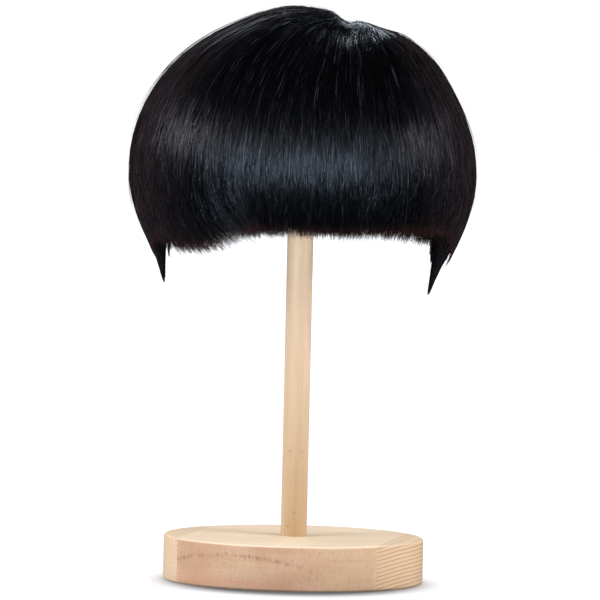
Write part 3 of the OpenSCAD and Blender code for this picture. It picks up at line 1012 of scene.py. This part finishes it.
def wefts(track, sewing):
    """Rows of weft: a folded tape with the hair's sewn heads standing on it in a close row."""
    for index, (down, reach) in enumerate(WEFT_ROWS, 1):
        node = f"weft_{index}"

        def high(t, d):
            return 2.0 + 0.4 * np.sin(math.pi * clamp((d - down) / WEFT_WIDTH))

        turns = (180 - reach, 180 + reach)
        ob = head_sheet(node + "_tape", turns, flat(down), flat(down + WEFT_WIDTH), flat(1.2), high, track,
                        (round(reach * 0.8), 5), whole=reach == 180)
        belongs(ob, "wig", "weft", node)
        ring = math.sin(math.radians(min(90, down)))
        turns = (180.5 - reach, 179.5 + reach)
        middle = flat(down + WEFT_WIDTH / 2)
        stitches(node, "wig", "weft", turns, middle, 1.15, 1.5 / ring, 0.9 / ring, sewing, 1.6)


def round_nape(radius, turn, height):
    """Points round the nape, from the back's middle towards +X. turn in radians."""
    x, y = radius * np.sin(turn), NAPE_Y + radius * np.cos(turn)
    return np.stack(np.broadcast_arrays(x, y, NAPE_Z + height), -1)


def nape_grid(start, arc, low, high, spots, ribs=0.0):
    """Outer and inner points of a strip round the nape, and its UVs. ribs is the height of elastic's ribs."""
    columns, rows = spots
    turn = np.radians(start + arc * np.linspace(0, 1, columns + 1))[:, None]
    up = STRAP_H * (0.5 - np.linspace(0, 1, rows + 1))[None, :]
    swell = ribs * np.sin(turn * STRAP_R * 2 * math.pi / 1.1)
    places = np.stack(np.broadcast_arrays(turn * STRAP_R, up), -1)
    return round_nape(high + swell, turn, up), round_nape(low, turn, up), places


def nape_adjuster(materials):
    """Loop tape, sleeves and straps, each a separate strip of fabric."""
    tape = skinned("loop_tape_cloth", *nape_grid(-17, 34, 60.2, 60.8, (60, 6)), materials["tape"], flip=True)
    belongs(tape, "wig", "loop_tape", "loop_tape")
    part = shares(12)
    turn = np.radians(np.arange(-16, 17, 3.0))[:, None]
    loops = round_nape(60.1 - 0.35 * np.sin(math.pi * part), turn, (STRAP_H - 2) * (part - 0.5))
    ob = tubes("loop_tape_loops", loops, np.full(len(loops), 0.25), materials["sewing"],
               np.linspace(0, 1, len(loops)), profile=EVEN, sides=6)
    belongs(ob, "wig", "loop_tape", "loop_tape")
    for side, name in SIDES:
        mirror = np.array([side, 1, 1])
        outer, inner, places = nape_grid(14.2, 28.8, STRAP_R, STRAP_R + STRAP_T - 0.1, (240, 8), 0.06)
        strap = skinned(f"strap_{name}_elastic", outer * mirror, inner * mirror, places, materials["elastic"],
                        flip=side > 0)
        belongs(strap, f"strap_{name}", "elastic", f"strap_{name}")
        sleeve(side, name, materials["sleeve"])


def sleeve(side, name, material):
    """A flat fabric tunnel, open at both ends, that the strap slides through."""
    turn = np.radians(34 + 18 * np.linspace(0, 1, 41))[:, None]
    angle = (2 * math.pi * np.linspace(0, 1, 29))[None, :]
    cos, sin = np.cos(angle), np.sin(angle)
    flatten = 0.35
    grids = []
    for room in (0.9, 0.3):
        out = (STRAP_T / 2 + room) * np.sign(cos) * np.abs(cos) ** flatten
        up = (STRAP_H / 2 + room) * np.sign(sin) * np.abs(sin) ** flatten
        grid = round_nape(STRAP_R + STRAP_T / 2 + out, turn, up) * np.array([side, 1, 1])
        grid[:, -1] = grid[:, 0]
        grids.append(grid.transpose(1, 0, 2))
    places = np.stack(np.broadcast_arrays(angle.T * 3, turn.T * STRAP_R), -1)
    ob = skinned(f"strap_sleeve_{name}_cloth", *grids, places, material, whole=True, flip=side > 0)
    belongs(ob, "wig", "sleeve", f"strap_sleeve_{name}")


# ---- camera, floor and lights


def softbox(name, place, at, size, power, colour, only, spread=180):
    """A lamp that the camera doesn't see, and that lights only one collection. spread is in degrees."""
    light = bpy.data.lights.new(name, "AREA")
    light.shape = "RECTANGLE"
    light.size, light.size_y = size
    light.energy = power
    light.color = colour
    light.spread = math.radians(spread)
    ob = new_object(name, light)
    ob.location = place
    ob.rotation_euler = (Vector(at) - Vector(place)).to_track_quat("-Z", "Y").to_euler()
    ob.visible_camera = False
    ob.light_linking.receiver_collection = only


def camera():
    """A long lens far off and a little above, rolled because the stand leans."""
    view_width = 0.3462
    distance = 6.0
    elevation = math.radians(3.6)
    roll = math.radians(1.3)
    look_at = Vector((0.0006, 0.0, 0.1625))
    data = bpy.data.cameras.new("camera")
    data.sensor_width = 36
    data.lens = 36 * distance / view_width
    data.clip_end = 100
    back = Vector((0, -math.cos(elevation), math.sin(elevation)))
    turn = (-back).to_track_quat("-Z", "Y").to_matrix().to_4x4() @ Matrix.Rotation(roll, 4, "Z")
    ob = new_object("camera", data)
    ob.matrix_world = Matrix.Translation(look_at + back * distance) @ turn
    bpy.context.scene.camera = ob


def floor():
    """A white floor that glows a little, with a painted shadow that darkens it right beside the base."""
    n = Nodes("white_floor", 0.9)
    x, y, _ = n.split(n.place())
    reach = n.reach(n.math("DIVIDE", x, 0.087), n.math("DIVIDE", n.plus(y, 0.008), 0.104))
    # Painted shadow: light runs from dark in a ring round the base to full white, and sets both the floor's
    # colour and its glow.
    light = n.ramp(reach, [(0.0, 0.15), (0.72, 0.15), (0.8, 0.36), (0.9, 0.76), (1.0, 1.0)])
    n.finish(n.mix(light, "#3a3c40", "#e6e8ec"), 0.9)
    n.set("Specular IOR Level", 0.0)
    n.set("Emission Color", (0.97, 0.98, 1.0, 1))
    n.feed(n.shader.inputs["Emission Strength"], n.times(light, 0.42))
    mesh = bpy.data.meshes.new("floor")
    half = 4.0
    corners = [(-half, -half, 0), (half, -half, 0), (half, half, 0), (-half, half, 0)]
    mesh.from_pydata(corners, [], [(0, 1, 2, 3)])
    mesh.materials.append(n.mat)
    ob = new_object("floor", mesh)
    ob.visible_glossy = False


def dark_studio():
    """A dim shell round the object that only reflections see, so that black hair can look black."""
    mesh = bpy.data.meshes.new("dark_studio")
    rings, columns, radius = 12, 24, 3.5
    points, faces = [], []
    for i in range(rings + 1):
        down = math.pi * i / rings
        for j in range(columns):
            turn = 2 * math.pi * j / columns
            across = radius * math.sin(down)
            points.append((across * math.cos(turn), across * math.sin(turn), radius * math.cos(down)))
    for i in range(rings):
        for j in range(columns):
            low, k = i * columns, (j + 1) % columns
            faces.append((low + j, low + k, low + columns + k, low + columns + j))
    mesh.from_pydata(points, [], faces)
    n = Nodes("dim_walls", 1.0)
    n.set("Base Color", (0, 0, 0, 1))
    n.set("Specular IOR Level", 0.0)
    n.set("Emission Color", (0.9, 0.95, 1.0, 1))
    n.set("Emission Strength", 0.02)
    mesh.materials.append(n.mat)
    ob = new_object("dark_studio", mesh)
    for ray in ("camera", "diffuse", "transmission", "shadow"):
        setattr(ob, f"visible_{ray}", False)


# Where the lamps on the hair look, and their colour at the sides.
MIDDLE = (0, 0, 0.24)
ROSE = (1.0, 0.86, 0.86)

# Each lamp on the hair: its name, place, size in metres, power in watts and colour.
HAIR_LAMPS = (
    ("front", (0.0, -1.9, 0.58), (1.4, 0.4), 16, BLUE),
    ("crown", (-0.4, 1.6, 1.2), (1.0, 0.6), 9, BLUE),
    ("left", (-1.6, -0.9, 1.1), (0.8, 0.6), 11, ROSE),
    ("right", (1.6, -0.9, 0.95), (0.8, 0.6), 6, ROSE),
    ("back", (0.3, 1.9, 0.5), (1.6, 0.5), 3, BLUE),
)


def stage(hair_only, stand_only):
    """The floor, the surroundings and every lamp."""
    floor()
    dark_studio()
    world = bpy.data.worlds.new("white")
    bpy.context.scene.world = world
    world.use_nodes = True
    background = world.node_tree.nodes["Background"]
    background.inputs["Color"].default_value = (1, 1, 1, 1)
    background.inputs["Strength"].default_value = 1.0
    bpy.context.scene.view_settings.view_transform = "Standard"
    for name, place, size, power, colour in HAIR_LAMPS:
        softbox(name, place, MIDDLE, size, power, colour, hair_only)
    white = (1, 1, 1)
    softbox("post", (0.0, -1.2, 0.1), (0, 0, 0.215), (0.1, 0.1), 0.034, white, stand_only, 11)
    for side in (-1, 1):
        softbox(f"stand_{side}", (side, -0.6, 0.9), (0, 0, 0.03), (0.7, 0.7), 10, white, stand_only)


# ---- the finished object


# How far the base's boards are turned from the front.
BOARD_TURN = math.radians(-11.5)


def dress_stand():
    """Finishes for the stand's wood and screw."""
    across = BOARD_TURN + math.pi / 2
    dress("base_centre_board", board_pine(BOARD_TURN))
    dress("base_left_strip", pine("left_pine", across, (0.13, -0.07), 0.0021, "#e3ccb2", "#bf966f", 0.7))
    dress("base_right_strip", pine("right_pine", across, (-0.11, -0.14), 0.0022, "#d6bb9b", "#ad8460", 0.8))
    dress("post", dowel_pine())
    dress("dome", turned_pine())
    dress("base_screw", brass())


def dress_plastic():
    """Finishes for the ear tabs' stays and the straps' hooks."""
    stay = moulded("stay_plastic", "#c4c6ca", "#a3a6ab", 0.4)
    hook = moulded("hook_plastic", "#131314", "#080809", 0.25)
    for _, name in SIDES:
        dress(f"ear_stay_{name}", stay)
        dress(f"hook_{name}", hook)


def sew_cap():
    """The cap, the wefts and the nape adjuster, with their fabrics."""
    materials = {
        "net": thread("net_thread", "#2c2724", "#120f0e"),
        "tape": woven("tape_weave", "#262220", "#0f0d0c", 0.7),
        "disc": woven("disc_weave", "#d9b297", "#b58a70", 0.5, 0.7),
        "lace": woven("lace_weave", "#d6ad92", "#a67d65", 0.8, 0.75, True),
        "binding": woven("binding_weave", "#262120", "#0d0b0b", 0.6, 0.85, True),
        "elastic": woven("elastic_weave", "#201d1d", "#080707", 0.9, 0.7),
        "sleeve": woven("sleeve_weave", "#2a2625", "#100e0e", 0.6),
        "sewing": thread("dark_sewing", "#35302e", "#1a1615"),
        "pale_sewing": thread("pale_sewing", "#e2c4ac", "#b6927a"),
    }
    cap(materials)
    wefts(woven("weft_weave", "#1b1716", "#060505", 0.8), materials["sewing"])
    nape_adjuster(materials)


def grow_hair():
    """All the hair, with its materials."""
    fibre = hair_material("hair_fibre", "#020203", "#08090c", "#2e2528", "#4a2a20")
    mass = mass_material("hair_mass", "#020203", "#08080b", 0.2)
    under_fibre = hair_material("under_fibre", "#060405", "#151011", "#241a1b", "#432820")
    under_mass = mass_material("under_mass", "#0a0708", "#1c1617", 0.05, (0.8, 0.95))
    outer_hair(fibre, mass)
    under_hair(under_fibre, under_mass)
    for side, name in SIDES:
        sideburn(side, name, fibre, mass)
    strays(under_fibre)


def gather_lit(hair_only, stand_only):
    """Puts the hair and the stand in the collections that their own lamps light."""
    for ob in list(bpy.context.scene.objects):
        if ob.get("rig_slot") in ("hair", "under_hair"):
            hair_only.objects.link(ob)
        if ob.get("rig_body") == "stand" and ob.type == "MESH":
            stand_only.objects.link(ob)


camera()
hair_only, stand_only = (bpy.data.collections.new(name) for name in ("hair_only", "stand_only"))
for lit in (hair_only, stand_only):
    bpy.context.scene.collection.children.link(lit)
stage(hair_only, stand_only)
dress_stand()
dress_plastic()
sew_cap()
grow_hair()
gather_lit(hair_only, stand_only)
